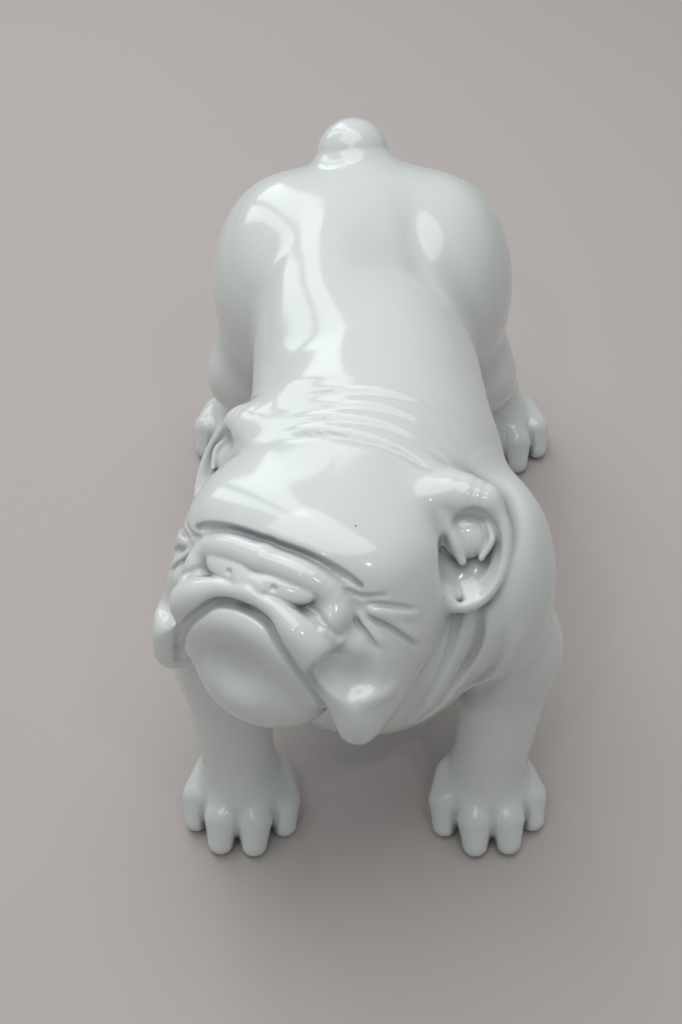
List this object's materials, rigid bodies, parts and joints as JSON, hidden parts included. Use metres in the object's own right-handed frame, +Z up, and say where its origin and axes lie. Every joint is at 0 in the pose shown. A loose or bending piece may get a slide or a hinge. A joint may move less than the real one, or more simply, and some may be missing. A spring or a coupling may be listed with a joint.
{
  "type": "ceramic dog figurine",
  "caption": "Life-size glazed ceramic bulldog, standing with its head turned aside and chin raised: a hollow slip-cast figure that rests on the floor as decoration.",
  "frame": {"origin": "on the floor, under the middle of the figure's bounding box", "axes": "+Z up, the dog faces -Y and its tail is at +Y, and its left side is +X"},
  "size_m": [0.3749, 0.594, 0.377],
  "materials": {
    "white_glaze": "glossy white glaze"
  },
  "bodies": {
    "root": {"torso": "white_glaze", "head": "white_glaze", "lower_jaw": "white_glaze", "left_ear": "white_glaze", "right_ear": "white_glaze", "tail": "white_glaze", "left_fore_leg": "white_glaze", "right_fore_leg": "white_glaze", "left_hind_leg": "white_glaze", "right_hind_leg": "white_glaze"}
  },
  "joints": []
}
